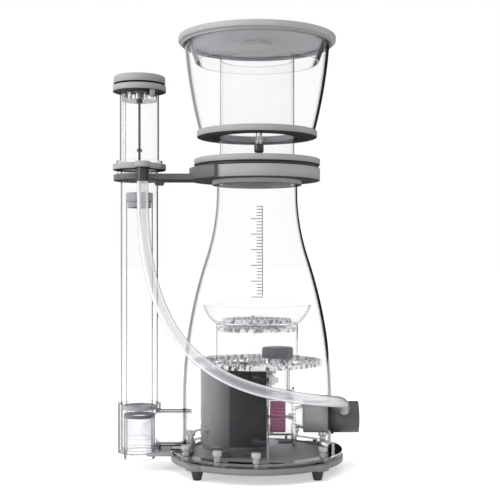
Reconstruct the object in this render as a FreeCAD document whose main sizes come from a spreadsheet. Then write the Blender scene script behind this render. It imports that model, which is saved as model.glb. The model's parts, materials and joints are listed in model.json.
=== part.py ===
import FreeCAD, Part
import math
import os
import Sketcher

# Protein skimmer for an aquarium sump: a clear bottle-shaped reaction body with an internal
# needle-wheel pump, a lift-off collection cup with a lid, and an outlet riser whose inner
# standpipe is raised and lowered by the knob on top of the air silencer.
# Millimetres, +Z up. Heights are measured from the floor under the rubber feet. The frame's
# origin is the middle of the footprint on that floor.

SIZES = {
    # whole machine
    "foot_height": 13.0,
    "plate_thick": 8.0,
    "clearance": 0.3,
    "running_gap": 0.05,
    # base
    "flange_width": 14.0,
    "flange_margin": 1.0,
    "lobe_radius": 15.0,
    "foot_inset": 7.0,
    "foot_top": 8.3,
    "foot_bottom": 5.3,
    "flange_thick": 6.0,
    "screw_outset": 7.5,
    # reaction body
    "body_radius": 100.0,
    "neck_radius": 54.0,
    "body_wall": 3.0,
    "shoulder_low": 90.0,
    "shoulder_high": 372.0,
    "neck_height": 29.0,
    # collars between body and cup
    "collar_radius": 84.5,
    "collar_height": 16.0,
    "cup_collar_height": 8.0,
    "seal_height": 4.3,
    # collection cup
    "tube_radius": 50.0,
    "tube_wall": 3.0,
    "tube_below_rim": 21.5,
    "tube_insert": 21.0,
    "cup_lift": 42.0,
    "cup_floor_thick": 8.5,
    "cup_floor_radius": 80.6,
    "cup_low_radius": 77.6,
    "cup_high_radius": 97.3,
    "cup_wall": 3.0,
    "cup_bend": 650.0,
    "cup_depth": 118.0,
    "drain_offset": 66.0,
    "nipple_radius": 4.0,
    # lid
    "lid_radius": 105.5,
    "lid_thick": 8.0,
    "skirt_high_radius": 92.5,
    "skirt_low_radius": 83.0,
    "skirt_drop": 26.0,
    # riser, tee and standpipe
    "riser_gap": 14.0,
    "riser_radius": 25.0,
    "riser_wall": 2.5,
    "riser_above_arm": 6.3,
    "tee_wall": 4.0,
    "tee_lift": 1.0,
    "tee_above_duct": 8.0,
    "duct_lift": 2.0,
    "duct_wall": 3.0,
    "duct_insert": 12.0,
    "standpipe_radius": 18.0,
    "standpipe_wall": 2.0,
    "standpipe_bottom": 40.0,
    "standpipe_drop": 42.3,
    "spigot_top": 68.0,
    # arm and silencer
    "arm_thick": 8.0,
    "arm_width": 52.0,
    "arm_ring_width": 9.5,
    "clamp_screw_inset": 3.5,
    "clamp_screw_forward": 18.0,
    "silencer_ring_width": 10.5,
    "silencer_ring_thick": 8.0,
    "silencer_radius": 26.3,
    "silencer_wall": 2.5,
    "silencer_height": 97.0,
    "knob_radius": 34.5,
    "knob_thick": 10.5,
    "knob_gap": 2.5,
    "spindle_radius": 1.6,
    # pump
    "pump_z": 68.5,
    "motor_front": 12.0,
    "motor_back": 76.0,
    "motor_half_width": 45.0,
    "motor_low": 36.0,
    "motor_high": 133.0,
    "volute_half_width": 62.0,
    "volute_high": 134.0,
    "volute_depth": 32.0,
    "volute_radius": 36.0,
    "volute_bore": 25.0,
    "sheet_thick": 3.0,
    "impeller_radius": 21.0,
    "impeller_start": 17.7,
    "impeller_length": 20.3,
    "pin_radius": 1.1,
    "shaft_radius": 2.0,
    "magnet_radius": 13.0,
    "outlet_x": 29.6,
    "outlet_radius": 14.5,
    "intake_radius": 21.0,
    "intake_bore": 16.5,
    "intake_start": 62.0,
    "intake_seat": 1.0,
    "intake_outside": 35.6,
    # bubble plate and diffuser
    "bubble_plate_z": 139.0,
    "bubble_plate_thick": 6.0,
    "bubble_plate_radius": 88.4,
    "bubble_tube_radius": 55.0,
    "dish_z": 193.0,
    "dish_radius": 72.4,
    "dish_height": 25.6,
    "dish_wall": 2.5,
    "bubble_hole": 2.6,
    # air hose
    "hose_diameter": 15.0,
    "port_x": 9.0,
    "port_outset": 20.0,
    "nozzle_length": 18.3,
}

doc = FreeCAD.newDocument("protein_skimmer")
sheet = doc.addObject("Spreadsheet::Sheet", "sizes")
for row, (alias, number) in enumerate(SIZES.items(), start=1):
    sheet.set(f"A{row}", alias)
    sheet.set(f"B{row}", str(number))
    sheet.setAlias(f"B{row}", alias)
doc.recompute()


class Size:
    """A length that carries its sheet expression together with its present value."""

    def __init__(self, text, value):
        self.text = text
        self.value = value

    @staticmethod
    def of(item):
        if isinstance(item, Size):
            return item
        return Size(f"({float(item)})", float(item))

    def join(self, sign, other, value):
        return Size(f"({self.text} {sign} {other.text})", value)

    def __add__(self, other):
        other = Size.of(other)
        return self.join("+", other, self.value + other.value)

    def __sub__(self, other):
        other = Size.of(other)
        return self.join("-", other, self.value - other.value)

    def __mul__(self, other):
        other = Size.of(other)
        return self.join("*", other, self.value * other.value)

    def __truediv__(self, other):
        other = Size.of(other)
        return self.join("/", other, self.value / other.value)

    def __radd__(self, other):
        return Size.of(other) + self

    def __rsub__(self, other):
        return Size.of(other) - self

    def __rmul__(self, other):
        return Size.of(other) * self

    def __neg__(self):
        return Size.of(0) - self


class Dimensions:
    """Reads a driving dimension from the sheet by its alias."""

    def __getattr__(self, alias):
        return Size(f"sizes.{alias}", float(sheet.get(alias)))


d = Dimensions()
NODES = []


def bind(item, path, amount):
    """Sets a property to a number, or ties it to the sheet."""
    amount = Size.of(amount)
    item.setExpression(path, amount.text)


def place(item, at=(0, 0, 0), turn=None):
    """Puts an object at a sheet-driven point, after an optional turn about an axis."""
    if turn:
        axis, degrees = turn
        item.Placement = FreeCAD.Placement(FreeCAD.Vector(), FreeCAD.Rotation(FreeCAD.Vector(*axis), degrees))
    for letter, amount in zip("xyz", at):
        bind(item, f"Placement.Base.{letter}", amount)


def node(item, name):
    """Names a finished sub-part, whose label is its file's name."""
    item.Label = name
    NODES.append(item)
    return item


def plane(body, role):
    return next(item for item in body.Origin.OriginFeatures if item.Role == role)


def new_sketch(body, name, role):
    sketch = body.newObject("Sketcher::SketchObject", name)
    sketch.AttachmentSupport = [(plane(body, role), "")]
    sketch.MapMode = "FlatFace"
    return sketch


def pin_down(sketch, edge, end, name, across, up):
    """Holds one end of an edge at a sheet-driven place."""
    for kind, letter, amount in (("DistanceX", "x", across), ("DistanceY", "y", up)):
        amount = Size.of(amount)
        index = sketch.addConstraint(Sketcher.Constraint(kind, -1, 1, edge, end, amount.value))
        sketch.renameConstraint(index, f"{name}_{letter}")
        sketch.setExpression(f"Constraints.{name}_{letter}", amount.text)


def arc_centre(start, finish, radius):
    """Centre of an arc; a positive radius puts it on the left of the way from start to finish."""
    along = finish - start
    middle = (start + finish) * 0.5
    left = FreeCAD.Vector(-along.y, along.x, 0).normalize()
    drop = math.sqrt(radius * radius - along.Length ** 2 / 4)
    return middle + left * math.copysign(drop, radius)


def outline(sketch, corners):
    """Draws a closed outline. A corner is (across, up), or (across, up, radius) where the edge
    that leaves it is an arc: positive turns left, negative turns right."""
    points = [FreeCAD.Vector(Size.of(c[0]).value, Size.of(c[1]).value, 0) for c in corners]
    count = len(corners)
    starts = []
    for index, corner in enumerate(corners):
        start = points[index]
        finish = points[(index + 1) % count]
        if len(corner) == 2:
            sketch.addGeometry(Part.LineSegment(start, finish), False)
            starts.append((1, 2))
            continue
        radius = Size.of(corner[2])
        centre = arc_centre(start, finish, radius.value)
        angles = [math.atan2(p.y - centre.y, p.x - centre.x) for p in (start, finish)]
        ends = (1, 2)
        if radius.value < 0:
            angles.reverse()
            ends = (2, 1)
        circle = Part.Circle(centre, FreeCAD.Vector(0, 0, 1), abs(radius.value))
        sketch.addGeometry(Part.ArcOfCircle(circle, *angles), False)
        starts.append(ends)
    for index, corner in enumerate(corners):
        following = (index + 1) % count
        pin_down(sketch, index, starts[index][0], f"corner{index}", corner[0], corner[1])
        sketch.addConstraint(
            Sketcher.Constraint("Coincident", index, starts[index][1], following, starts[following][0]))
        if len(corner) == 3:
            radius = Size.of(corner[2])
            text = radius.text if radius.value > 0 else f"-({radius.text})"
            place_in_list = sketch.addConstraint(Sketcher.Constraint("Radius", index, abs(radius.value)))
            sketch.renameConstraint(place_in_list, f"bend{index}")
            sketch.setExpression(f"Constraints.bend{index}", text)


def circles(sketch, rounds):
    """Draws circles given as (across, up, radius)."""
    for index, (across, up, radius) in enumerate(rounds):
        radius = Size.of(radius)
        centre = FreeCAD.Vector(Size.of(across).value, Size.of(up).value, 0)
        sketch.addGeometry(Part.Circle(centre, FreeCAD.Vector(0, 0, 1), radius.value), False)
        number = sketch.addConstraint(Sketcher.Constraint("Radius", index, radius.value))
        sketch.renameConstraint(number, f"radius{index}")
        sketch.setExpression(f"Constraints.radius{index}", radius.text)
        pin_down(sketch, index, 3, f"centre{index}", across, up)


def turned(name, corners, at=(0, 0, 0)):
    """A body turned about its own Z axis from an outline of (radius, height) corners."""
    body = doc.addObject("PartDesign::Body", name)
    sketch = new_sketch(body, name + "_outline", "XZ_Plane")
    outline(sketch, corners)
    turn = body.newObject("PartDesign::Revolution", name + "_turn")
    turn.Profile = sketch
    turn.ReferenceAxis = (sketch, ["V_Axis"])
    turn.Angle = 360
    place(body, at)
    return body


def turned_across(name, corners, at=(0, 0, 0)):
    """A body turned about its own X axis from an outline of (distance, radius) corners."""
    body = doc.addObject("PartDesign::Body", name)
    sketch = new_sketch(body, name + "_outline", "XY_Plane")
    outline(sketch, corners)
    turn = body.newObject("PartDesign::Revolution", name + "_turn")
    turn.Profile = sketch
    turn.ReferenceAxis = (sketch, ["H_Axis"])
    turn.Angle = 360
    place(body, at)
    return body


def box_outline(inner, outer, low, high):
    return [(inner, low), (outer, low), (outer, high), (inner, high)]


def ring(name, inner, outer, low, high, at=(0, 0, 0)):
    return turned(name, box_outline(inner, outer, low, high), at)


def ring_across(name, inner, outer, start, finish, at=(0, 0, 0)):
    return turned_across(name, box_outline(start, finish, inner, outer), at)


def padded_body(name, corners, low, high, at=(0, 0, 0), role="XY_Plane"):
    """A flat-sided body padded from an outline, between two distances from its plane."""
    body = doc.addObject("PartDesign::Body", name)
    sketch = new_sketch(body, name + "_outline", role)
    outline(sketch, corners)
    pad = body.newObject("PartDesign::Pad", name + "_pad")
    pad.Profile = sketch
    low = Size.of(low)
    bind(pad, "Length", Size.of(high) - low)
    bind(sketch, "AttachmentOffset.Base.z", low)
    place(body, at)
    return body


def hole_ring(body, name, circle, radius, count, first_turn=0.0):
    """Cuts a ring of equal round holes right through a body, about its own Z axis."""
    sketch = new_sketch(body, name + "_hole", "XY_Plane")
    across = Size.of(circle) * math.cos(math.radians(first_turn))
    up = Size.of(circle) * math.sin(math.radians(first_turn))
    circles(sketch, [(across, up, radius)])
    pocket = body.newObject("PartDesign::Pocket", name + "_pocket")
    pocket.Profile = sketch
    pocket.Type = "ThroughAll"
    pocket.SideType = "Symmetric"
    pattern = body.newObject("PartDesign::PolarPattern", name + "_pattern")
    pattern.Originals = [pocket]
    pattern.Axis = (sketch, ["N_Axis"])
    pattern.Angle = 360
    pattern.Occurrences = count
    body.Tip = pattern
    return pattern


def rod(name, radius, length, at, axis="z"):
    """A round bar from a point along +X, +Y or +Z."""
    bar = doc.addObject("Part::Cylinder", name)
    bind(bar, "Radius", radius)
    bind(bar, "Height", length)
    turns = {"x": ((0, 1, 0), 90), "y": ((1, 0, 0), -90), "z": None}
    place(bar, at, turns[axis])
    return bar


def block(name, low, high):
    """A box between two corners."""
    box = doc.addObject("Part::Box", name)
    for path, a, b in zip(("Length", "Width", "Height"), low, high):
        bind(box, path, Size.of(b) - Size.of(a))
    place(box, low)
    return box


def cut(name, base, tools):
    """Takes tools away from a base."""
    tool = tools[0]
    if len(tools) > 1:
        tool = doc.addObject("Part::MultiFuse", name + "_tools")
        tool.Shapes = tools
    result = doc.addObject("Part::Cut", name)
    result.Base = base
    result.Tool = tool
    return result


def joined(name, pieces):
    """Joins overlapping pieces into one solid."""
    result = doc.addObject("Part::MultiFuse", name)
    result.Shapes = pieces
    result.Refine = True
    return result


def group(name, pieces):
    """Keeps equal pieces as separate solids of one sub-part."""
    result = doc.addObject("Part::Compound", name)
    result.Links = pieces
    return result


def polar(radius, degrees, centre):
    """A point on a circle about a vertical axis; 0 degrees is +X and 90 is +Y."""
    across = Size.of(radius) * math.cos(math.radians(degrees))
    along = Size.of(radius) * math.sin(math.radians(degrees))
    return centre + across, along


# Radii and reaches that follow from the sizes.
BASE_RADIUS = d.body_radius + d.flange_width + d.flange_margin
FOOT_CIRCLE = BASE_RADIUS - d.foot_inset
SCREW_CIRCLE = d.body_radius + d.screw_outset
TEE_RADIUS = d.riser_radius + d.tee_wall
RISER_OFFSET = BASE_RADIUS + d.riser_gap + TEE_RADIUS
DUCT_REACH = d.body_radius - d.duct_insert
ARM_RING_RADIUS = d.riser_radius + d.arm_ring_width
SILENCER_RING_RADIUS = d.riser_radius + d.silencer_ring_width
INTAKE_SPLIT = d.body_radius - d.intake_seat
INTAKE_REACH = d.body_radius + d.intake_outside

# Main axes and levels. The body's axis stands a little to the right of the frame's origin,
# because the silencer reaches further to the left than the intake does to the right.
BODY_X = (RISER_OFFSET + SILENCER_RING_RADIUS - INTAKE_REACH) / 2
RISER_X = BODY_X - RISER_OFFSET
PORT_AT = (RISER_X + d.port_x, -(d.riser_radius + d.port_outset))
PLATE_LOW = d.foot_height
PLATE_TOP = PLATE_LOW + d.plate_thick
FLANGE_TOP = PLATE_TOP + d.flange_thick
TEE_BOTTOM = PLATE_TOP + d.tee_lift
DUCT_Z = FLANGE_TOP + d.duct_lift + d.riser_radius
TEE_TOP = DUCT_Z + d.riser_radius + d.tee_above_duct
BODY_TOP = d.shoulder_high + d.neck_height
ARM_Z = BODY_TOP - d.collar_height
RISER_TOP = ARM_Z + d.arm_thick + d.riser_above_arm
STANDPIPE_TOP = RISER_TOP - d.standpipe_drop
NOZZLE_BOTTOM = RISER_TOP - d.nozzle_length
CUP_FLOOR_Z = BODY_TOP + d.cup_lift
CUP_RIM_Z = CUP_FLOOR_Z + d.cup_floor_thick + d.cup_depth
BODY_AXIS = (BODY_X, 0, 0)
RISER_AXIS = (RISER_X, 0, 0)
PUMP_AXIS = (BODY_X, 0, d.pump_z)
FOOT_TURNS = (45, 135, 225, 315)

# Routes chosen by hand, in the frame. The air hose runs from the silencer's nozzle round the
# front of the body to the pump's intake; the motor's lead runs down to its gland in the base.
HOSE_ROUTE = [
    (-120.05, -45.0, 381.0),
    (-120.05, -45.0, 349.0),
    (-117.0, -51.0, 306.0),
    (-110.0, -59.0, 264.0),
    (-97.0, -70.0, 225.0),
    (-78.0, -85.0, 189.0),
    (-51.0, -99.0, 159.0),
    (-16.0, -109.0, 135.0),
    (25.0, -113.0, 119.0),
    (66.0, -108.0, 110.0),
    (102.0, -92.0, 103.0),
    (128.5, -66.0, 98.0),
    (142.0, -41.0, 92.5),
    (144.0, -21.5, 81.0),
]
CABLE_ROUTE = [
    (-39.5, -30.0, 56.0),
    (-50.0, -30.0, 56.0),
    (-56.5, -30.5, 50.0),
    (-58.0, -31.0, 39.5),
    (-58.0, -31.0, 27.0),
]
CABLE_RADIUS = 1.5
GLAND_INSET = 13.05


def make_base():
    """Grey base plate with a lobe over each foot, and four tapered rubber feet."""
    blank = rod("base_disc", BASE_RADIUS, d.plate_thick, (BODY_X, 0, PLATE_LOW))
    lobes = []
    feet = []
    for number, degrees in enumerate(FOOT_TURNS, start=1):
        across, along = polar(FOOT_CIRCLE, degrees, BODY_X)
        lobes.append(rod(f"base_lobe{number}", d.lobe_radius, d.plate_thick, (across, along, PLATE_LOW)))
        foot = doc.addObject("Part::Cone", f"foot{number}")
        bind(foot, "Radius1", d.foot_bottom)
        bind(foot, "Radius2", d.foot_top)
        bind(foot, "Height", d.foot_height)
        place(foot, (across, along, 0))
        feet.append(foot)
    node(joined("base_solid", [blank] + lobes), "base_plate")
    node(group("feet", feet), "rubber_feet")


SCREW_TURNS = (-149, -118, -91, -39, 31, 59, 90, 121, 149)
FLANGE_BOLT_RADIUS = 3.8
SLOT_REACH = 13.0


def make_flange():
    """Clear flange around the foot of the body, slotted so that it turns off its thumbscrews."""
    body = ring("flange", d.body_radius, BASE_RADIUS - d.flange_margin, PLATE_TOP, FLANGE_TOP, BODY_AXIS)
    doc.recompute()
    slots = []
    screws = []
    for number, degrees in enumerate(SCREW_TURNS, start=1):
        across, along = polar(SCREW_CIRCLE, degrees, BODY_X)
        slots.append(rod(f"slot_hole{number}", FLANGE_BOLT_RADIUS + d.clearance,
                         d.flange_thick + 2, (across, along, PLATE_TOP - 1)))
        slot = doc.addObject("Part::Box", f"slot{number}")
        bind(slot, "Length", SLOT_REACH)
        bind(slot, "Width", 2 * (FLANGE_BOLT_RADIUS + d.clearance) - 1)
        bind(slot, "Height", d.flange_thick + 2)
        place(slot, (across, along, PLATE_TOP - 1), ((0, 0, 1), degrees + 90))
        slots.append(slot)
        shank = rod(f"shank{number}", FLANGE_BOLT_RADIUS, 14, (across, along, PLATE_TOP))
        head = rod(f"screw_head{number}", 6.2, 6, (across, along, PLATE_TOP + 13))
        screws.append(joined(f"thumbscrew{number}", [shank, head]))
    node(cut("flange_slotted", body, slots), "body_flange")
    node(group("thumbscrews", screws), "base_thumbscrews")


def make_reaction_body():
    """Clear bottle-shaped body: an upright foot, two arcs that meet in a tangent, and a neck. It is
    one moulding, kept as a bell and a neck that meet where the curve turns over."""
    fall = d.shoulder_high - d.shoulder_low
    spread = d.body_radius - d.neck_radius
    both_bends = (fall * fall + spread * spread) / (2 * spread)
    upper_share = 0.32
    upper_bend = both_bends * upper_share
    lower_bend = both_bends * (1 - upper_share)
    meet_radius = d.neck_radius + spread * upper_share
    meet_z = d.shoulder_high - fall * upper_share
    wall = d.body_wall
    bell = turned("body_bell", [
        (d.body_radius - wall, PLATE_TOP),
        (d.body_radius, PLATE_TOP),
        (d.body_radius, d.shoulder_low, lower_bend),
        (meet_radius, meet_z),
        (meet_radius - wall, meet_z, -lower_bend),
        (d.body_radius - wall, d.shoulder_low),
    ], BODY_AXIS)
    duct_hole = rod("duct_hole", d.riser_radius, d.body_radius, (BODY_X - d.body_radius - 5, 0, DUCT_Z), "x")
    intake_hole = rod("intake_hole", d.intake_radius + 2, d.body_radius / 2,
                      (BODY_X + d.body_radius / 2 + 5, 0, d.pump_z), "x")
    node(cut("body_drilled", bell, [duct_hole, intake_hole]), "reaction_body")
    node(turned("body_shoulder", [
        (meet_radius - wall, meet_z),
        (meet_radius, meet_z, -upper_bend),
        (d.neck_radius, d.shoulder_high),
        (d.neck_radius, BODY_TOP),
        (d.neck_radius - wall, BODY_TOP),
        (d.neck_radius - wall, d.shoulder_high, upper_bend),
    ], BODY_AXIS), "body_neck")
    node(ring_across("wall_seal", d.intake_radius, d.intake_radius + 2,
                     d.body_radius - 6, d.body_radius + 2, PUMP_AXIS), "intake_wall_seal")


SPIGOT_RADIUS = 60.0
SPIGOT_DEPTH = 6.0


def make_collars():
    """Grey collar bonded round the body's neck, with the O-ring that the cup sits on."""
    low = BODY_TOP - d.collar_height
    corners = [
        (d.neck_radius, low - SPIGOT_DEPTH),
        (SPIGOT_RADIUS, low - SPIGOT_DEPTH),
        (SPIGOT_RADIUS, low),
        (d.collar_radius, low),
        (d.collar_radius, BODY_TOP),
        (d.neck_radius, BODY_TOP),
    ]
    node(turned("lower_collar", corners, BODY_AXIS), "body_collar")
    seal = [
        (d.collar_radius - 12, BODY_TOP),
        (d.collar_radius - 2.5, BODY_TOP, 3.2),
        (d.collar_radius - 2.5, BODY_TOP + d.seal_height),
        (d.collar_radius - 12, BODY_TOP + d.seal_height),
    ]
    node(turned("collar_seal", seal, BODY_AXIS), "collar_seal_ring")


def make_outlet():
    """Duct, tee, outlet spigot, its seal and guide, the plate under them, and the riser."""
    duct = ring_across("duct_tube", d.riser_radius - d.duct_wall, d.riser_radius,
                       -RISER_OFFSET, -DUCT_REACH, (BODY_X, 0, DUCT_Z))
    mouth = rod("duct_mouth", d.riser_radius, TEE_TOP, (RISER_X, 0, 0))
    node(cut("duct_trimmed", duct, [mouth]), "duct")
    tee = turned("tee_shell", [
        (d.standpipe_radius + 3, TEE_BOTTOM),
        (TEE_RADIUS, TEE_BOTTOM),
        (TEE_RADIUS, TEE_TOP),
        (d.riser_radius, TEE_TOP),
        (d.riser_radius, TEE_BOTTOM + 4),
        (d.standpipe_radius + 3, TEE_BOTTOM + 4),
    ], RISER_AXIS)
    side_hole = rod("tee_side_hole", d.riser_radius, TEE_RADIUS + 10, (RISER_X, 0, DUCT_Z), "x")
    node(cut("tee_drilled", tee, [side_hole]), "outlet_tee")
    spigot_low = PLATE_LOW
    node(turned("spigot", [
        (d.standpipe_radius + 1.2, spigot_low),
        (d.standpipe_radius + 3, spigot_low),
        (d.standpipe_radius + 3, d.spigot_top),
        (d.standpipe_radius + d.running_gap, d.spigot_top),
        (d.standpipe_radius + d.running_gap, spigot_low + 9),
        (d.standpipe_radius + 1.2, spigot_low + 9),
    ], RISER_AXIS), "outlet_spigot")
    node(ring("spigot_gland", d.standpipe_radius + d.running_gap, d.standpipe_radius + 3,
              d.spigot_top, d.spigot_top + 4.5, RISER_AXIS), "spigot_seal")
    guide = ring("guide", d.standpipe_radius + d.running_gap, d.riser_radius - d.riser_wall,
                 TEE_TOP - 8, TEE_TOP - 3, RISER_AXIS)
    doc.recompute()
    guide_hole_circle = (d.standpipe_radius + d.riser_radius - d.riser_wall) / 2
    hole_ring(guide, "guide", guide_hole_circle, 1.2, 8)
    node(guide, "standpipe_guide")
    plate = block("duct_plate", (RISER_X + 13, -32, PLATE_TOP), (BODY_X - 80, 32, TEE_BOTTOM + 3))
    corner = rod("plate_clear", BASE_RADIUS + d.clearance, 20, (BODY_X, 0, PLATE_TOP - 5))
    tee_room = rod("plate_tee_room", TEE_RADIUS + d.clearance, 20, (RISER_X, 0, PLATE_TOP - 5))
    node(cut("duct_plate_cut", plate, [corner, tee_room]), "duct_support_plate")
    node(ring("riser", d.riser_radius - d.riser_wall, d.riser_radius,
              TEE_TOP - 9, RISER_TOP, RISER_AXIS), "riser_tube")


SADDLE_THICK = 6.5
SADDLE_HALF_TURN = 53.0


def make_arm():
    """Arm that ties the riser to the body's collar: ring, flat web and saddle, with its clamp screw."""
    low = ARM_Z
    high = ARM_Z + d.arm_thick
    collar_low = BODY_TOP - d.collar_height
    ring_part = rod("arm_ring", ARM_RING_RADIUS, d.arm_thick, (RISER_X, 0, low))
    web = block("arm_web", (RISER_X, -d.arm_width / 2, low),
                (BODY_X - d.collar_radius, d.arm_width / 2, high))
    saddle = doc.addObject("Part::Cylinder", "arm_saddle")
    bind(saddle, "Radius", d.collar_radius + SADDLE_THICK)
    bind(saddle, "Height", d.collar_height)
    saddle.Angle = 2 * SADDLE_HALF_TURN
    place(saddle, (BODY_X, 0, collar_low), ((0, 0, 1), 180 - SADDLE_HALF_TURN))
    riser_hole = rod("arm_riser_hole", d.riser_radius, d.arm_thick + 2, (RISER_X, 0, low - 1))
    collar_room = rod("arm_collar_room", d.collar_radius, d.collar_height + 20, (BODY_X, 0, low - 10))
    screw_x = RISER_X + d.riser_radius + d.clamp_screw_inset
    screw_y = -d.clamp_screw_forward
    screw_hole = rod("arm_screw_hole", 3 + d.running_gap, 6.3, (screw_x, screw_y, low - 0.1))
    solid = joined("arm_solid", [ring_part, web, saddle])
    node(cut("arm_cut", solid, [riser_hole, collar_room, screw_hole]), "support_arm")
    screw = turned("clamp_screw", [
        (0, low - 7.5),
        (5.5, low - 7.5),
        (7.5, low - 0.3),
        (3, low - 0.3),
        (3, low + 6),
        (0, low + 6),
    ], (screw_x, screw_y, 0))
    node(screw, "arm_thumbscrew")
    pins = []
    for number, degrees in enumerate((-75, 45, 165), start=1):
        across, along = polar(ARM_RING_RADIUS - 5, degrees, RISER_X)
        pins.append(rod(f"ring_pin{number}", 2.2, RISER_TOP - high, (across, along, high)))
    node(group("ring_pins", pins), "silencer_screws")


HOSE_BORE_SHARE = 0.27


def make_silencer():
    """Air silencer on top of the riser: port ring, chamber tube, top ring, plug and gland."""
    ring_low = RISER_TOP
    ring_high = ring_low + d.silencer_ring_thick
    base = rod("port_ring", SILENCER_RING_RADIUS, d.silencer_ring_thick, (RISER_X, 0, ring_low))
    lobe = rod("port_lobe", d.hose_diameter * 0.7, d.silencer_ring_thick, PORT_AT + (ring_low,))
    port_x, port_y = PORT_AT
    bridge = block("port_bridge", (port_x - 9, port_y, ring_low), (port_x + 9, port_y / 2, ring_high))
    bore = rod("port_ring_bore", d.riser_radius - d.riser_wall, d.silencer_ring_thick + 2,
               (RISER_X, 0, ring_low - 1))
    nozzle_hole = rod("port_hole", d.hose_diameter * HOSE_BORE_SHARE, d.silencer_ring_thick + 2,
                      PORT_AT + (ring_low - 1,))
    node(cut("port_ring_cut", joined("port_ring_solid", [base, lobe, bridge]), [bore, nozzle_hole]),
         "silencer_base_ring")
    node(turned("hose_port", [
        (d.hose_diameter * HOSE_BORE_SHARE, NOZZLE_BOTTOM),
        (d.hose_diameter * 0.5, NOZZLE_BOTTOM),
        (d.hose_diameter * 0.52, ring_low - 5),
        (d.hose_diameter * 0.52, ring_low),
        (d.hose_diameter * HOSE_BORE_SHARE, ring_low),
    ], PORT_AT + (0,)), "hose_nozzle")
    tube_high = ring_high + d.silencer_height
    inner = d.silencer_radius - d.silencer_wall
    flange = d.silencer_radius + 4.5
    node(turned("chamber", [
        (inner, ring_high),
        (flange, ring_high),
        (flange, ring_high + 4.5),
        (d.silencer_radius, ring_high + 4.5),
        (d.silencer_radius, tube_high),
        (inner, tube_high),
    ], RISER_AXIS), "silencer_tube")
    gland_radius = 4.0
    top_ring = ring("top_ring", gland_radius, SILENCER_RING_RADIUS, tube_high,
                    tube_high + d.silencer_ring_thick, RISER_AXIS)
    clips = []
    for number, degrees in enumerate((60, 130, -50), start=1):
        across, along = polar(d.silencer_radius + 4.2, degrees, RISER_X)
        clips.append(rod(f"clip{number}", 3.6, 11, (across, along, tube_high - 9)))
    node(joined("top_ring_solid", [top_ring] + clips), "silencer_top_ring")
    plug = ring("plug", gland_radius, inner - 0.2, tube_high - 12, tube_high, RISER_AXIS)
    doc.recompute()
    hole_ring(plug, "plug", inner - 4, 2.0, 12)
    node(ring("gland", d.spindle_radius + d.running_gap, gland_radius, tube_high - 15,
              tube_high + d.silencer_ring_thick, RISER_AXIS), "spindle_gland")
    vent_x = inner - 4
    vent = rod("vent_bar", 2.2, tube_high - 11 - ring_high, (RISER_X - vent_x, 0, ring_high))
    vent_bore = rod("vent_bore", 1.2, d.silencer_height, (RISER_X - vent_x, 0, ring_high))
    node(cut("plug_cut", joined("plug_solid", [plug, vent]), [vent_bore]), "silencer_plug")


def make_knob():
    """Level knob with its spindle, which reaches down to the standpipe's cap."""
    top = RISER_TOP + 2 * d.silencer_ring_thick + d.silencer_height + d.knob_gap
    round_edge = 3.0
    node(turned("knob", [
        (0, top),
        (d.knob_radius, top),
        (d.knob_radius, top + d.knob_thick - round_edge, round_edge),
        (d.knob_radius - round_edge, top + d.knob_thick),
        (0, top + d.knob_thick),
    ], RISER_AXIS), "level_knob")
    foot_low = RISER_TOP + 25
    lift_low = STANDPIPE_TOP - 40
    node(turned("spindle_bar", [
        (0, lift_low),
        (d.spindle_radius, lift_low),
        (d.spindle_radius, foot_low),
        (3.4, foot_low),
        (3.4, foot_low + 4),
        (d.spindle_radius, foot_low + 4),
        (d.spindle_radius, top),
        (0, top),
    ], RISER_AXIS), "spindle")


def make_standpipe():
    """Sliding inner pipe whose top edge sets the water level, with the nut that the screw lifts."""
    inner = d.standpipe_radius - d.standpipe_wall
    node(ring("level_pipe", inner, d.standpipe_radius, d.standpipe_bottom, STANDPIPE_TOP, RISER_AXIS),
         "standpipe")
    bore = d.spindle_radius + d.running_gap
    node(turned("pipe_cap", [
        (bore, STANDPIPE_TOP - 8),
        (inner, STANDPIPE_TOP - 8),
        (inner, STANDPIPE_TOP),
        (d.standpipe_radius, STANDPIPE_TOP),
        (d.standpipe_radius, STANDPIPE_TOP + 12),
        (bore, STANDPIPE_TOP + 12),
    ], RISER_AXIS), "standpipe_nut")


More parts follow.
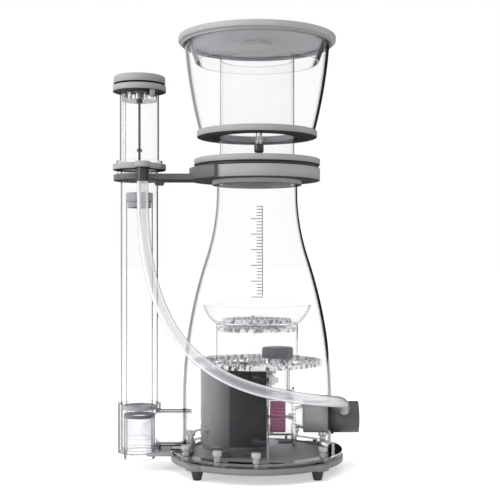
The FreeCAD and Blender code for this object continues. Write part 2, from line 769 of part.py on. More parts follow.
def make_cup():
    """Collection cup that lifts off: collar, neck tube, floor, flared wall and drain."""
    collar_low = BODY_TOP + d.seal_height + d.clearance
    node(ring("upper_collar", d.tube_radius, d.collar_radius, collar_low, collar_low + d.cup_collar_height,
              BODY_AXIS), "cup_collar")
    node(ring("neck", d.tube_radius - d.tube_wall, d.tube_radius, BODY_TOP - d.tube_insert,
              CUP_RIM_Z - d.tube_below_rim, BODY_AXIS), "neck_tube")
    floor_high = CUP_FLOOR_Z + d.cup_floor_thick
    drain_at = (BODY_X + 2, -d.drain_offset)
    floor = ring("cup_base", d.tube_radius, d.cup_floor_radius, CUP_FLOOR_Z, floor_high, BODY_AXIS)
    drain_hole = rod("drain_hole", d.nipple_radius, d.cup_floor_thick + 2, drain_at + (CUP_FLOOR_Z - 1,))
    node(cut("cup_base_cut", floor, [drain_hole]), "cup_floor")
    node(turned("cup_shell", [
        (d.cup_low_radius - d.cup_wall, floor_high),
        (d.cup_low_radius, floor_high, d.cup_bend),
        (d.cup_high_radius, CUP_RIM_Z),
        (d.cup_high_radius - d.cup_wall, CUP_RIM_Z, -d.cup_bend),
    ], BODY_AXIS), "cup_wall")
    nipple_low = CUP_FLOOR_Z - 18
    node(turned("nipple", [
        (d.nipple_radius - 1.5, nipple_low),
        (d.nipple_radius, nipple_low),
        (d.nipple_radius, floor_high),
        (d.nipple_radius - 1.5, floor_high),
    ], drain_at + (0,)), "drain_nipple")
    bore = d.nipple_radius + d.running_gap
    cap_low = nipple_low - 9
    node(turned("nipple_cap", [
        (0, cap_low),
        (bore + 1.2, cap_low),
        (bore + 2, cap_low + 2),
        (bore + 2, nipple_low + 2),
        (bore, nipple_low + 2),
        (bore, nipple_low - 1),
        (0, nipple_low - 1),
    ], drain_at + (0,)), "drain_cap")


def make_lid():
    """Lid: grey disc, centre boss, clear splash skirt and a seal round the cup's rim."""
    low = CUP_RIM_Z + d.clearance
    round_edge = 2.0
    node(turned("lid_plate", [
        (0, low - 4),
        (21, low - 4),
        (21, low),
        (d.lid_radius, low),
        (d.lid_radius, low + d.lid_thick - round_edge, round_edge),
        (d.lid_radius - round_edge, low + d.lid_thick),
        (0, low + d.lid_thick),
    ], BODY_AXIS), "lid_disc")
    node(turned("splash_skirt", [
        (d.skirt_high_radius - 2.5, low),
        (d.skirt_low_radius - 2.5, low - d.skirt_drop),
        (d.skirt_low_radius, low - d.skirt_drop),
        (d.skirt_high_radius, low),
    ], BODY_AXIS), "lid_skirt")
    node(ring("lid_gasket", d.cup_high_radius + d.clearance, d.cup_high_radius + 3,
              low - 3.5, low, BODY_AXIS), "lid_seal")


SOCKET_INSET = 20.55
SOCKET_LIFT = 12.5


def make_pump():
    """Motor, volute, screws, outlet, cap, stand and intake. The shaft lies along X."""
    half = d.motor_half_width
    round_x = half - d.motor_back
    motor = padded_body("motor_block", [
        (d.motor_front, half),
        (round_x, half, half),
        (-d.motor_back, 0, half),
        (round_x, -half),
        (d.motor_front, -half),
    ], d.motor_low, d.motor_high, BODY_AXIS)
    well_radius = d.magnet_radius + 1
    well_depth = 52.0
    well = rod("motor_well", well_radius, well_depth, (BODY_X + d.motor_front - well_depth, 0, d.pump_z), "x")
    notches = []
    for number, height in enumerate((41, 59), start=1):
        notches.append(block(f"motor_notch{number}", (BODY_X - d.motor_back - 1, -14, height),
                             (BODY_X - d.motor_back + 1.5, 14, height + 4)))
    lead_y, lead_z = CABLE_ROUTE[0][1:]
    boss = rod("cable_boss", 3.5, 12, (BODY_X - d.motor_back + 7.55, lead_y, lead_z), "x")
    top_pad = padded_body("motor_top", [
        (d.motor_front - 12, half * 0.8),
        (round_x, half * 0.8, half * 0.8),
        (round_x - half * 0.8, 0, half * 0.8),
        (round_x, -half * 0.8),
        (d.motor_front - 12, -half * 0.8),
    ], d.motor_high, d.bubble_plate_z, BODY_AXIS)
    node(cut("motor_cut", joined("motor_solid", [motor, top_pad, boss]), [well] + notches), "motor_housing")

    plate_start = d.motor_front
    plate_finish = plate_start + d.sheet_thick
    cover_start = plate_finish + d.volute_depth
    cover_finish = cover_start + d.sheet_thick
    wide = d.volute_half_width
    stand_top = PLATE_TOP + 12
    holes = {"volute_back": [], "volute_front": []}
    screws = []
    corners = [(side * (wide - 8), height) for side in (-1, 1) for height in (43, 124)]
    for number, (along, height) in enumerate(corners, start=1):
        holes["volute_back"].append(rod(f"screw_hole{number}", 3.5 + d.clearance, 10,
                                        (BODY_X + plate_start - 3, along, height), "x"))
        head = rod(f"pump_head{number}", 6.5, 9, (BODY_X + plate_start - 19, along, height), "x")
        shank = rod(f"pump_shank{number}", 3.5, 26, (BODY_X + plate_start - 11, along, height), "x")
        nut = rod(f"pump_nut{number}", 6, 8, (BODY_X + plate_finish, along, height), "x")
        screws.append(joined(f"pump_screw{number}", [head, shank, nut]))
    node(group("pump_screws", screws), "volute_screws")
    back = block("volute_back", (BODY_X + plate_start, -wide, PLATE_TOP),
                 (BODY_X + plate_finish, wide, d.volute_high))
    shaft_hole = rod("back_shaft_hole", well_radius, 10, (BODY_X + plate_start - 3, 0, d.pump_z), "x")
    node(cut("volute_back_cut", back, holes["volute_back"] + [shaft_hole]), "volute_back_plate")

    shell = ring_across("volute_shell", d.volute_bore, d.volute_radius, plate_finish, cover_start, PUMP_AXIS)
    outlet_bore = rod("volute_outlet_hole", d.outlet_radius, 60, (BODY_X + d.outlet_x, 0, d.pump_z))
    node(cut("volute_drilled", shell, [outlet_bore]), "volute_ring")
    front = turned_across("volute_front", [
        (cover_start, d.intake_bore - 6),
        (cover_start, d.volute_radius + 4),
        (cover_finish, d.volute_radius + 4),
        (cover_finish, d.intake_bore - 3),
        (d.intake_start, d.intake_bore),
        (d.intake_start, d.intake_bore - 2),
        (cover_finish, d.intake_bore - 6),
    ], PUMP_AXIS)
    node(front, "volute_cover")

    saddle_room = rod("outlet_saddle", d.volute_bore, 60, (BODY_X + 5, 0, d.pump_z), "x")
    pipe_low = d.pump_z + d.volute_bore - 8
    pipe_high = d.bubble_plate_z + d.bubble_plate_thick + 3
    pipe = ring("outlet_pipe", d.outlet_radius - 2.5, d.outlet_radius, pipe_low, pipe_high,
                (BODY_X + d.outlet_x, 0, 0))
    node(cut("outlet_pipe_cut", pipe, [saddle_room]), "pump_outlet_tube")
    cap_edge = 3.0
    node(turned("puck", [
        (0, pipe_high),
        (21, pipe_high),
        (21, pipe_high + 14 - cap_edge, cap_edge),
        (21 - cap_edge, pipe_high + 14),
        (0, pipe_high + 14),
    ], (BODY_X + d.outlet_x - 2, 0, 0)), "outlet_cap")

    stand_x = BODY_X - 22
    stand_room = block("stand_room", (BODY_X + plate_start, -wide, PLATE_TOP),
                       (BODY_X + 60, wide, stand_top + 5))
    stand = rod("stand_disc", 50, d.motor_low - stand_top + 5, (stand_x, 0, stand_top - 5))
    posts = []
    for number, degrees in enumerate((60, 120, 240, 300), start=1):
        across, along = polar(40, degrees, stand_x)
        posts.append(rod(f"post{number}", 6, stand_top - 4 - PLATE_TOP, (across, along, PLATE_TOP)))
    node(cut("stand_cut", joined("stand_solid", [stand] + posts), [stand_room]), "pump_stand")

    intake = ring_across("intake_tube", d.intake_bore - 0.5, d.intake_radius, d.intake_start, INTAKE_SPLIT,
                         PUMP_AXIS)
    node(intake, "intake_pipe")
    sleeve = ring_across("intake_end", d.intake_bore, d.intake_radius, INTAKE_SPLIT, INTAKE_REACH, PUMP_AXIS)
    inward = FreeCAD.Vector(*HOSE_ROUTE[-1]) - FreeCAD.Vector(*HOSE_ROUTE[-2])
    socket = doc.addObject("Part::Cylinder", "hose_socket")
    bind(socket, "Radius", d.hose_diameter / 2)
    bind(socket, "Height", 8)
    socket.Placement = FreeCAD.Placement(FreeCAD.Vector(), FreeCAD.Rotation(FreeCAD.Vector(0, 0, 1), inward))
    place(socket, (BODY_X + INTAKE_REACH - SOCKET_INSET, -(d.intake_radius + 0.5), d.pump_z + SOCKET_LIFT))
    bore = rod("intake_room", d.intake_bore, INTAKE_REACH, (BODY_X, 0, d.pump_z), "x")
    node(cut("intake_cut", joined("intake_solid", [sleeve, socket]), [bore]), "intake_fitting")


def make_rotor():
    """Needle wheel, shaft and magnet, with the two bushings that the shaft runs in."""
    start = d.impeller_start
    wheel = ring_across("wheel", d.shaft_radius, d.impeller_radius, start, start + 2, PUMP_AXIS)
    doc.recompute()
    for number, (share, count) in enumerate(((0.28, 8), (0.52, 14), (0.74, 20), (0.94, 26)), start=1):
        sketch = new_sketch(wheel, f"pins{number}_sketch", "YZ_Plane")
        circles(sketch, [(d.impeller_radius * share, 0, d.pin_radius)])
        bind(sketch, "AttachmentOffset.Base.z", start + 1)
        pad = wheel.newObject("PartDesign::Pad", f"pins{number}_pad")
        pad.Profile = sketch
        bind(pad, "Length", d.impeller_length - 1)
        pattern = wheel.newObject("PartDesign::PolarPattern", f"pins{number}_pattern")
        pattern.Originals = [pad]
        pattern.Axis = (sketch, ["N_Axis"])
        pattern.Angle = 360
        pattern.Occurrences = count
        wheel.Tip = pattern
    node(wheel, "impeller")
    shaft_low = d.motor_front - 47
    shaft_high = d.motor_front + d.sheet_thick + d.volute_depth + 1
    node(rod("axle", d.shaft_radius, shaft_high - shaft_low, (BODY_X + shaft_low, 0, d.pump_z), "x"),
         "impeller_shaft")
    node(ring_across("magnet", d.shaft_radius, d.magnet_radius, d.motor_front - 42, d.motor_front - 2,
                     PUMP_AXIS), "rotor_magnet")
    bush_bore = d.shaft_radius + d.running_gap
    rear = ring_across("rear_bush", bush_bore, d.magnet_radius + 1, d.motor_front - 52, d.motor_front - 44,
                       PUMP_AXIS)
    cover_start = d.motor_front + d.sheet_thick + d.volute_depth
    hub = rod("front_hub", 4.5, d.sheet_thick + 5, (BODY_X + cover_start - 5, 0, d.pump_z), "x")
    spokes = []
    for number in range(3):
        spoke = doc.addObject("Part::Box", f"spoke{number + 1}")
        bind(spoke, "Length", d.sheet_thick)
        bind(spoke, "Width", 2)
        bind(spoke, "Height", d.intake_bore - 6.3)
        place(spoke, (BODY_X + cover_start, 0, d.pump_z), ((1, 0, 0), 120 * number))
        spokes.append(spoke)
    bore = rod("front_bore", bush_bore, 20, (BODY_X + cover_start - 8, 0, d.pump_z), "x")
    front = cut("front_bush", joined("front_spider", [hub] + spokes), [bore])
    node(group("bushings", [rear, front]), "shaft_bushings")


def make_bubble_plate():
    """Perforated bubble plate, the tube and dish that stand on it, and the diffuser in the dish."""
    low = d.bubble_plate_z
    high = low + d.bubble_plate_thick
    bolt_radius = 4.5
    plate = ring("bubbler", bolt_radius + d.clearance, d.bubble_plate_radius, low, high, BODY_AXIS)
    doc.recompute()
    for number, (circle, count) in enumerate(((82, 48), (74, 44), (66, 40), (46, 26), (9.5, 6)), start=1):
        hole_ring(plate, f"bubbler{number}", circle, d.bubble_hole, count)
    pipe_room = rod("bubbler_pipe_room", d.outlet_radius + d.clearance, 20, (BODY_X + d.outlet_x, 0, low - 5))
    node(cut("bubbler_cut", plate, [pipe_room]), "bubble_plate")
    node(ring("rising_tube", d.bubble_tube_radius - 2, d.bubble_tube_radius, high, d.dish_z, BODY_AXIS),
         "bubble_tube")
    dish_high = d.dish_z + d.dish_height
    wall = d.dish_wall
    bowl_bend = 45.0
    node(turned("bowl", [
        (d.bubble_tube_radius - 12, d.dish_z),
        (d.bubble_tube_radius, d.dish_z, bowl_bend),
        (d.dish_radius, dish_high),
        (d.dish_radius - wall, dish_high, -bowl_bend),
        (d.bubble_tube_radius - wall, d.dish_z + wall),
        (d.bubble_tube_radius - 12, d.dish_z + wall),
    ], BODY_AXIS), "diffuser_dish")
    discs = []
    for name, level, reach in (("upper", d.dish_z + wall, d.bubble_tube_radius - 9),
                               ("lower", d.dish_z - 9, d.bubble_tube_radius - 2)):
        disc = ring(f"{name}_disc", bolt_radius + d.clearance, reach, level, level + 5, BODY_AXIS)
        doc.recompute()
        for number, (circle, count) in enumerate(((38, 30), (30, 24), (22, 18), (14, 12)), start=1):
            hole_ring(disc, f"{name}_disc{number}", circle, d.bubble_hole - 0.3, count)
        discs.append(disc)
    node(group("discs", discs), "diffuser_plates")
    shank_high = d.dish_z + wall + 5
    shank = rod("bolt_shank", bolt_radius, shank_high - low, (BODY_X, 0, low))
    head = doc.addObject("Part::Prism", "bolt_head")
    head.Polygon = 6
    bind(head, "Circumradius", 8)
    bind(head, "Height", 4)
    place(head, (BODY_X, 0, shank_high))
    node(joined("centre_bolt_solid", [shank, head]), "centre_bolt")


def cord_tube(name, route, radius):
    """A round tube along straight runs joined by tangent arcs, as large as each pair of runs allows."""
    points = [FreeCAD.Vector(*point) for point in route]
    edges = []
    last = points[0]
    bends = []
    for before, corner, after in zip(points, points[1:], points[2:]):
        back = (before - corner).normalize()
        ahead = (after - corner).normalize()
        half_turn = (math.pi - back.getAngle(ahead)) / 2
        trim = 0.45 * min((before - corner).Length, (after - corner).Length)
        bend = trim / math.tan(half_turn)
        bends.append(bend)
        start = corner + back * trim
        finish = corner + ahead * trim
        inward = (back + ahead).normalize()
        middle = corner + inward * (bend / math.cos(half_turn) - bend)
        edges.append(Part.LineSegment(last, start).toShape())
        edges.append(Part.Arc(start, middle, finish).toShape())
        last = finish
    edges.append(Part.LineSegment(last, points[-1]).toShape())
    path = Part.Wire(edges)
    section = Part.Wire([Part.Circle(points[0], points[1] - points[0], radius).toShape()])
    solid = path.makePipeShell([section], True, False)
    expected = math.pi * radius * radius * path.Length
    print(name, "radii", [round(bend) for bend in bends], "length", round(path.Length, 1),
          "volume ratio", round(solid.Volume / expected, 4))
    item = doc.addObject("Part::Feature", name)
    item.Shape = solid
    return item


def make_cords():
    """Air hose, and the motor's lead with its gland."""
    node(cord_tube("hose_tube", HOSE_ROUTE, d.hose_diameter.value / 2), "air_hose")
    node(cord_tube("lead_tube", CABLE_ROUTE, CABLE_RADIUS), "motor_cable")
    gland_y, gland_z = CABLE_ROUTE[-1][1:]
    gland_x = BODY_X - d.body_radius + GLAND_INSET
    node(rod("lead_gland", 3.6, gland_z - PLATE_TOP, (gland_x, gland_y, PLATE_TOP)), "cable_gland")


def check_and_write():
    """Stops if anything failed to build, then writes one file for each sub-part."""
    doc.recompute()
    for item in doc.Objects:
        if "Invalid" in item.State or "Error" in item.State:
            raise RuntimeError(f"{item.Name} failed: {item.State}")
    labels = [item.Label for item in NODES]
    if len(set(labels)) != len(labels):
        raise RuntimeError("two sub-parts share a name")
    for item in NODES:
        shape = item.Shape
        if shape.isNull() or not shape.isValid() or not shape.Solids:
            raise RuntimeError(f"{item.Label} has no valid solid")
        if any(not solid.isClosed() or solid.Volume < 1 for solid in shape.Solids):
            raise RuntimeError(f"{item.Label} holds a solid that is open or empty")
    os.makedirs("parts", exist_ok=True)
    for item in NODES:
        item.Shape.exportStep(f"parts/{item.Label}.step")
    print(len(NODES), "sub-parts written")


make_base()
make_flange()
make_reaction_body()
make_collars()
make_outlet()
make_arm()
make_silencer()
make_knob()
make_standpipe()
make_cup()
make_lid()
make_pump()
make_rotor()
make_bubble_plate()
make_cords()
check_and_write()
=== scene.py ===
import json
import math

import bpy
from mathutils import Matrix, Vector


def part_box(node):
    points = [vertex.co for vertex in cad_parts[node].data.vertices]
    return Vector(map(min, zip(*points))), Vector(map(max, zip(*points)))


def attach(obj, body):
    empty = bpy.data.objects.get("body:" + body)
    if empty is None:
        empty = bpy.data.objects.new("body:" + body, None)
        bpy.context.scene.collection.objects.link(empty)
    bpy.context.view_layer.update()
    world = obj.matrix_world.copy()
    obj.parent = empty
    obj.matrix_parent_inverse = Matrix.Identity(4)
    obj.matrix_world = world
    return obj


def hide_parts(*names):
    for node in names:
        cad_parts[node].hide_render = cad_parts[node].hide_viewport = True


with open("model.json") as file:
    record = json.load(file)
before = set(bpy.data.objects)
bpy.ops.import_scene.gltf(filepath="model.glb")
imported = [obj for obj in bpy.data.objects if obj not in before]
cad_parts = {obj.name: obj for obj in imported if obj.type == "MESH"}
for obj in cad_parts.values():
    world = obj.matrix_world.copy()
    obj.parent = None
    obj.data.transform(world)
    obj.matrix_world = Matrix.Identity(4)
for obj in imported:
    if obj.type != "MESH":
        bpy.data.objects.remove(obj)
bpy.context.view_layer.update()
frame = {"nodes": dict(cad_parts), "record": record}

TURN = 2 * math.pi


def middle(node):
    """Middle of a CAD node's box."""
    low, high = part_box(node)
    return (Vector(low) + Vector(high)) / 2


BODY = middle("base_plate")
RISER = middle("riser_tube")
FLOOR_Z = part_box("rubber_feet")[0][2]


# ---------------------------------------------------------------- shader writing

def opaque(colour):
    """A colour's three numbers as the four that a socket takes; a socket or a plain number as it is."""
    return (*colour, 1) if isinstance(colour, tuple) else colour


def scaled(colour, share):
    """A colour made darker or lighter."""
    return tuple(channel * share for channel in colour)


class Value:
    """A shader socket that can be used in a Python expression."""

    def __init__(self, finish, socket):
        self.finish = finish
        self.socket = socket

    def maths(self, operation, *others):
        values = {0: self.socket}
        for index, other in enumerate(others, start=1):
            values[index] = other.socket if isinstance(other, Value) else other
        return self.finish.add("ShaderNodeMath", {"operation": operation}, values)

    def __add__(self, other):
        return self.maths("ADD", other)

    __radd__ = __add__

    def __mul__(self, other):
        return self.maths("MULTIPLY", other)

    __rmul__ = __mul__

    def __sub__(self, other):
        return self.maths("SUBTRACT", other)

    def __rsub__(self, other):
        return self.maths("MULTIPLY", -1.0).maths("ADD", other)

    def above(self, level):
        return self.maths("GREATER_THAN", level)

    def clamped(self):
        return self.maths("MAXIMUM", 0.0).maths("MINIMUM", 1.0)


class Finish:
    """One material and its shader nodes."""

    def __init__(self, name, **settings):
        self.material = bpy.data.materials.new(name)
        self.material.use_nodes = True
        self.tree = self.material.node_tree
        self.shader = next(n for n in self.tree.nodes if n.type == "BSDF_PRINCIPLED")
        for socket, amount in settings.items():
            self.set(socket.replace("_", " "), amount)

    def add(self, kind, settings=None, values=None, output=0):
        """Adds a node; its settings go first, then its sockets' values or links."""
        item = self.tree.nodes.new(kind)
        for key, amount in (settings or {}).items():
            if key == "stops":
                self.stops(item, amount)
            else:
                setattr(item, key, amount)
        for key, amount in (values or {}).items():
            self.join(item.inputs[key], amount)
        return Value(self, item.outputs[output])

    def stops(self, ramp, stops):
        elements = ramp.color_ramp.elements
        while len(elements) < len(stops):
            elements.new(0.5)
        for element, (place, shade) in zip(elements, stops):
            element.position = place
            element.color = (*shade, 1) if isinstance(shade, tuple) else (shade, shade, shade, 1)

    def join(self, socket, amount):
        if isinstance(amount, Value):
            amount = amount.socket
        if isinstance(amount, bpy.types.NodeSocket):
            self.tree.links.new(amount, socket)
        else:
            socket.default_value = amount

    def set(self, socket, amount):
        self.join(self.shader.inputs[socket], opaque(amount))

    def place(self, scale=(1, 1, 1)):
        """Object coordinates, stretched."""
        coordinates = self.add("ShaderNodeTexCoord", output=3)
        return self.add("ShaderNodeMapping", {}, {"Vector": coordinates, "Scale": scale})

    def part(self, vector, axis):
        """One of a vector's three parts."""
        return self.add("ShaderNodeSeparateXYZ", {}, {"Vector": vector}, output=axis)

    def noise(self, scale, detail=4.0, stretch=(1, 1, 1)):
        return self.add("ShaderNodeTexNoise", {}, {
            "Vector": self.place(stretch), "Scale": scale, "Detail": detail})

    def ramp(self, share, *stops):
        """A tone for every share from 0 to 1; a stop is a place with a colour or with one grey."""
        return self.add("ShaderNodeValToRGB", {"stops": stops}, {"Fac": share})

    def mix(self, share, first, second):
        return self.add("ShaderNodeMix", {"data_type": "RGBA"}, {
            0: share, 6: opaque(first), 7: opaque(second)}, output=2)

    def bump(self, height, strength, distance):
        self.set("Normal", self.add("ShaderNodeBump", {}, {
            "Height": height, "Strength": strength, "Distance": distance}))

    def surface_normal(self):
        return self.add("ShaderNodeNewGeometry", output=1)

    def facing(self):
        """0 where a surface is seen square on, 1 at its outline."""
        return self.add("ShaderNodeLayerWeight", output=1)


# ---------------------------------------------------------------- finishes

ACRYLIC_IOR = 1.49


def clear_finish(name, body, edge, start, shade=(0.68, 0.68, 0.76), outline=(0.008, 0.008, 0.01)):
    """Polished acrylic: clear square on, with a dark line along its outline. The body and edge are
    its densities there, and the start is how far round the surface turns before the line begins."""
    finish = Finish(name, IOR=ACRYLIC_IOR)
    facing = finish.facing()
    before = start - 0.1
    density = finish.ramp(facing, (0.0, body), (before, body * 2), (start, edge * 0.3),
                          (start + 0.06, edge), (1.0, edge))
    smears = finish.noise(9.0, 3.0, (1, 1, 0.35))
    finish.set("Alpha", (density + (smears - 0.5) * (body * 0.8)).clamped())
    finish.set("Base Color", finish.ramp(
        facing, (0.0, shade), (before, shade), (start + 0.03, outline), (1.0, outline)))
    finish.set("Roughness", finish.noise(55.0, 6.0, (1, 1, 3)) * 0.06 + 0.02)
    return finish.material


def refracting_finish(name, rough):
    """Small cut or moulded clear pieces, which bend light as real acrylic does."""
    tint = (0.97, 0.975, 0.98)
    finish = Finish(name, Transmission_Weight=1.0, IOR=ACRYLIC_IOR)
    cloud = finish.noise(70.0, 4.0)
    finish.set("Base Color", finish.mix(cloud, scaled(tint, 0.94), tint))
    finish.set("Roughness", cloud * rough)
    finish.bump(finish.noise(160.0, 3.0), 0.08, 0.0004)
    return finish.material


def edge_of_sheet(finish, axis):
    """0 on the two broad faces of a sheet that lies square to an axis, 1 on its cut edges."""
    level = finish.part(finish.surface_normal(), axis)
    return 1 - level * level


def sheet_finish(name, axis):
    """Clear sheet whose cut edges carry a painted reflection: near black, with pale painted highlight
    streaks.
    """
    finish = Finish(name, IOR=ACRYLIC_IOR)
    edge = edge_of_sheet(finish, axis)
    # Painted reflection on the cut edges: dark bands with pale highlight streaks, fixed in the colour.
    painted_edge_reflection = finish.ramp(
        finish.noise(60.0, 2.0, (3, 3, 0.3)),
        (0.0, (0.01, 0.01, 0.012)), (0.55, (0.03, 0.03, 0.034)),
        (0.66, (0.5, 0.5, 0.53)), (1.0, (0.7, 0.7, 0.72)))
    finish.set("Base Color", finish.mix(edge, (0.6, 0.6, 0.66), painted_edge_reflection))
    finish.set("Alpha", edge * 0.6 + 0.05)
    finish.set("Roughness", finish.noise(40.0, 3.0) * 0.1 + 0.03)
    return finish.material


def pump_screw_finish(name):
    """Black knob behind the pump's back plate, and a clear nut in front of it."""
    finish = Finish(name, Roughness=0.2, Specular_IOR_Level=0.2)
    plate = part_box("volute_back_plate")[1].x
    nut = finish.part(finish.place(), 0).above(plate)
    knob = finish.mix(finish.noise(90.0, 3.0), (0.003, 0.003, 0.003), (0.008, 0.008, 0.009))
    finish.set("Base Color", finish.mix(nut, knob, (0.5, 0.5, 0.54)))
    finish.set("Alpha", 1 - nut * 0.55)
    return finish.material


def perforated_finish(name):
    """Drilled clear sheet: faint on its faces, with painted sparkle on the walls of its holes."""
    finish = Finish(name, IOR=ACRYLIC_IOR, Roughness=0.08)
    wall = edge_of_sheet(finish, 2)
    # Painted glints: a fixed noise pattern of near black and white stands in for light bent through the
    # holes.
    painted_sparkle = finish.ramp(
        finish.noise(200.0, 3.0, (1, 1, 0.5)),
        (0.0, (0.02, 0.02, 0.025)), (0.44, (0.05, 0.05, 0.055)), (0.52, (0.95, 0.95, 0.97)), (1.0, 1))
    finish.set("Base Color", finish.mix(wall, (0.72, 0.72, 0.76), painted_sparkle))
    finish.set("Alpha", wall * 0.52 + 0.07)
    return finish.material


def pvc_finish(name, colour, under=0.12):
    """Machined grey PVC: fine turning marks and faint cloudiness, and painted shade on its underside."""
    finish = Finish(name, Specular_IOR_Level=0.08)
    cloud = finish.noise(26.0, 5.0)
    grain = finish.noise(900.0, 2.0, (1, 1, 6))
    # Painted shade: faces that look down are darkened to the under share of the colour.
    underside_shade_mask = (finish.part(finish.surface_normal(), 2) * -1.0).clamped()
    above = finish.mix(cloud, scaled(colour, 0.86), scaled(colour, 1.1))
    finish.set("Base Color", finish.mix(underside_shade_mask, above, scaled(colour, under)))
    finish.set("Roughness", cloud * 0.16 + 0.3)
    finish.bump(grain, 0.12, 0.0002)
    return finish.material


def painted_underside_shade_finish(name):
    """Painted shade for the grey PVC's downward faces: matt and dark, without a sheen."""
    finish = Finish(name, Specular_IOR_Level=0.0, Roughness=0.9)
    cloud = finish.noise(40.0, 4.0)
    finish.set("Base Color", finish.mix(cloud, (0.035, 0.035, 0.037), (0.06, 0.06, 0.062)))
    return finish.material


def moulded_finish(name, colour, rough):
    """Moulded plastic or rubber with a fine spark-eroded grain."""
    finish = Finish(name)
    cloud = finish.noise(40.0, 4.0)
    finish.set("Base Color", finish.mix(cloud, scaled(colour, 0.8), scaled(colour, 1.2)))
    finish.set("Roughness", cloud * 0.15 + (rough - 0.07))
    finish.bump(finish.noise(1400.0, 2.0), 0.2, 0.0002)
    return finish.material


def motor_painted_light_finish(name):
    """Potted motor casing, glossy and nearly black, with painted light on its rounded left end: mid grey
    there, fading towards the block.
    """
    finish = Finish(name, Specular_IOR_Level=0.1)
    low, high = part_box("motor_housing")
    share = (finish.part(finish.place(), 0) - low.x) * (1 / (high.x - low.x))
    # Painted light: the grey on the rounded left end stands in for the left lamp and white studio seen in
    # that curve; its sharp steps are painted refraction bands.
    tone = finish.ramp(
        share, (0.0, (0.25, 0.25, 0.257)), (0.2, (0.16, 0.16, 0.165)), (0.44, (0.075, 0.075, 0.078)),
        (0.47, (0.014, 0.014, 0.015)), (0.62, (0.01, 0.01, 0.011)), (0.64, (0.004, 0.004, 0.0045)),
        (1.0, (0.004, 0.004, 0.0045)))
    cloud = finish.noise(40.0, 4.0)
    finish.set("Base Color", finish.mix(cloud * 0.03, tone, (0.06, 0.06, 0.06)))
    finish.set("Roughness", cloud * 0.12 + 0.22)
    finish.bump(finish.noise(1500.0, 2.0), 0.03, 0.0001)
    return finish.material


def hose_finish():
    """Milky silicone hose: see-through in its middle, with paler walls and a grey outline."""
    finish = Finish("milky_silicone", IOR=1.41)
    facing = finish.facing()
    cloud = finish.noise(60.0, 4.0)
    tone = finish.ramp(
        facing, (0.0, (0.42, 0.42, 0.44)), (0.14, (0.55, 0.55, 0.58)), (0.4, (0.9, 0.9, 0.92)),
        (0.6, (0.5, 0.5, 0.52)), (0.8, (0.22, 0.22, 0.24)), (1.0, (0.12, 0.12, 0.13)))
    finish.set("Base Color", finish.mix(cloud * 0.15, tone, (0.95, 0.95, 0.96)))
    finish.set("Alpha", finish.ramp(
        facing, (0.0, 0.36), (0.16, 0.42), (0.45, 0.66), (0.7, 0.86), (1.0, 0.97)))
    finish.set("Roughness", cloud * 0.1 + 0.15)
    return finish.material


CLEAR_LOOKS = {
    "clear_acrylic": dict(body=0.018, edge=0.99, start=0.7),
    "tube_acrylic": dict(body=0.03, edge=0.95, start=0.64),
    "neck_acrylic": dict(body=0.05, edge=0.92, start=0.78, outline=(0.04, 0.04, 0.045)),
    "thin_acrylic": dict(body=0.07, edge=0.85, start=0.55, outline=(0.03, 0.03, 0.035)),
    # Painted shade: the clear pump stand is given a dark grey in place of the dark reflections it shows.
    "stand_acrylic": dict(body=0.3, edge=0.8, start=0.7, shade=(0.12, 0.12, 0.13)),
    "shell_inside": dict(body=0.01, edge=0.3, start=0.84),
    "sawn_edge": dict(body=0.55, edge=0.8, start=0.8, shade=(0.14, 0.14, 0.16)),
    "bright_acrylic": dict(body=0.3, edge=0.95, start=0.52, shade=(0.95, 0.95, 0.97),
                           outline=(0.04, 0.04, 0.045)),
}
# under is the share of the colour left as painted shade on downward faces; the lid's is kept light.
PVC_LOOKS = {
    "grey_pvc": dict(colour=(0.3, 0.304, 0.312)),
    "lid_pvc": dict(colour=(0.34, 0.345, 0.352), under=0.75),
    "base_pvc": dict(colour=(0.19, 0.193, 0.2)),
    "arm_pvc": dict(colour=(0.11, 0.112, 0.116)),
}
MOULDED_LOOKS = {
    "scale_ink": dict(colour=(0.07, 0.07, 0.075), rough=0.5),
    "pipe_grey": dict(colour=(0.26, 0.26, 0.268), rough=0.35),
    "black_rubber": dict(colour=(0.012, 0.012, 0.013), rough=0.55),
    "black_plastic": dict(colour=(0.014, 0.014, 0.016), rough=0.35),
    "pump_grey": dict(colour=(0.055, 0.055, 0.058), rough=0.42),
    "needle_wheel": dict(colour=(0.6, 0.003, 0.19), rough=0.6),
    "ceramic": dict(colour=(0.7, 0.69, 0.66), rough=0.2),
    "magnet_black": dict(colour=(0.02, 0.02, 0.02), rough=0.4),
    "grey_lead": dict(colour=(0.3, 0.3, 0.31), rough=0.5),
}
FINISHES = {
    "plate_acrylic": sheet_finish("plate_acrylic", 0),
    "drilled_acrylic": perforated_finish("drilled_acrylic"),
    "clear_fittings": refracting_finish("clear_fittings", 0.03),
    "cut_acrylic": refracting_finish("cut_acrylic", 0.02),
    "pump_screws": pump_screw_finish("pump_screws"),
    "pvc_painted_underside_shade": painted_underside_shade_finish("pvc_painted_underside_shade"),
    "motor_casing": motor_painted_light_finish("motor_casing"),
    "silicone_hose": hose_finish(),
}
for make, looks in ((clear_finish, CLEAR_LOOKS), (pvc_finish, PVC_LOOKS), (moulded_finish, MOULDED_LOOKS)):
    FINISHES.update({name: make(name, **look) for name, look in looks.items()})

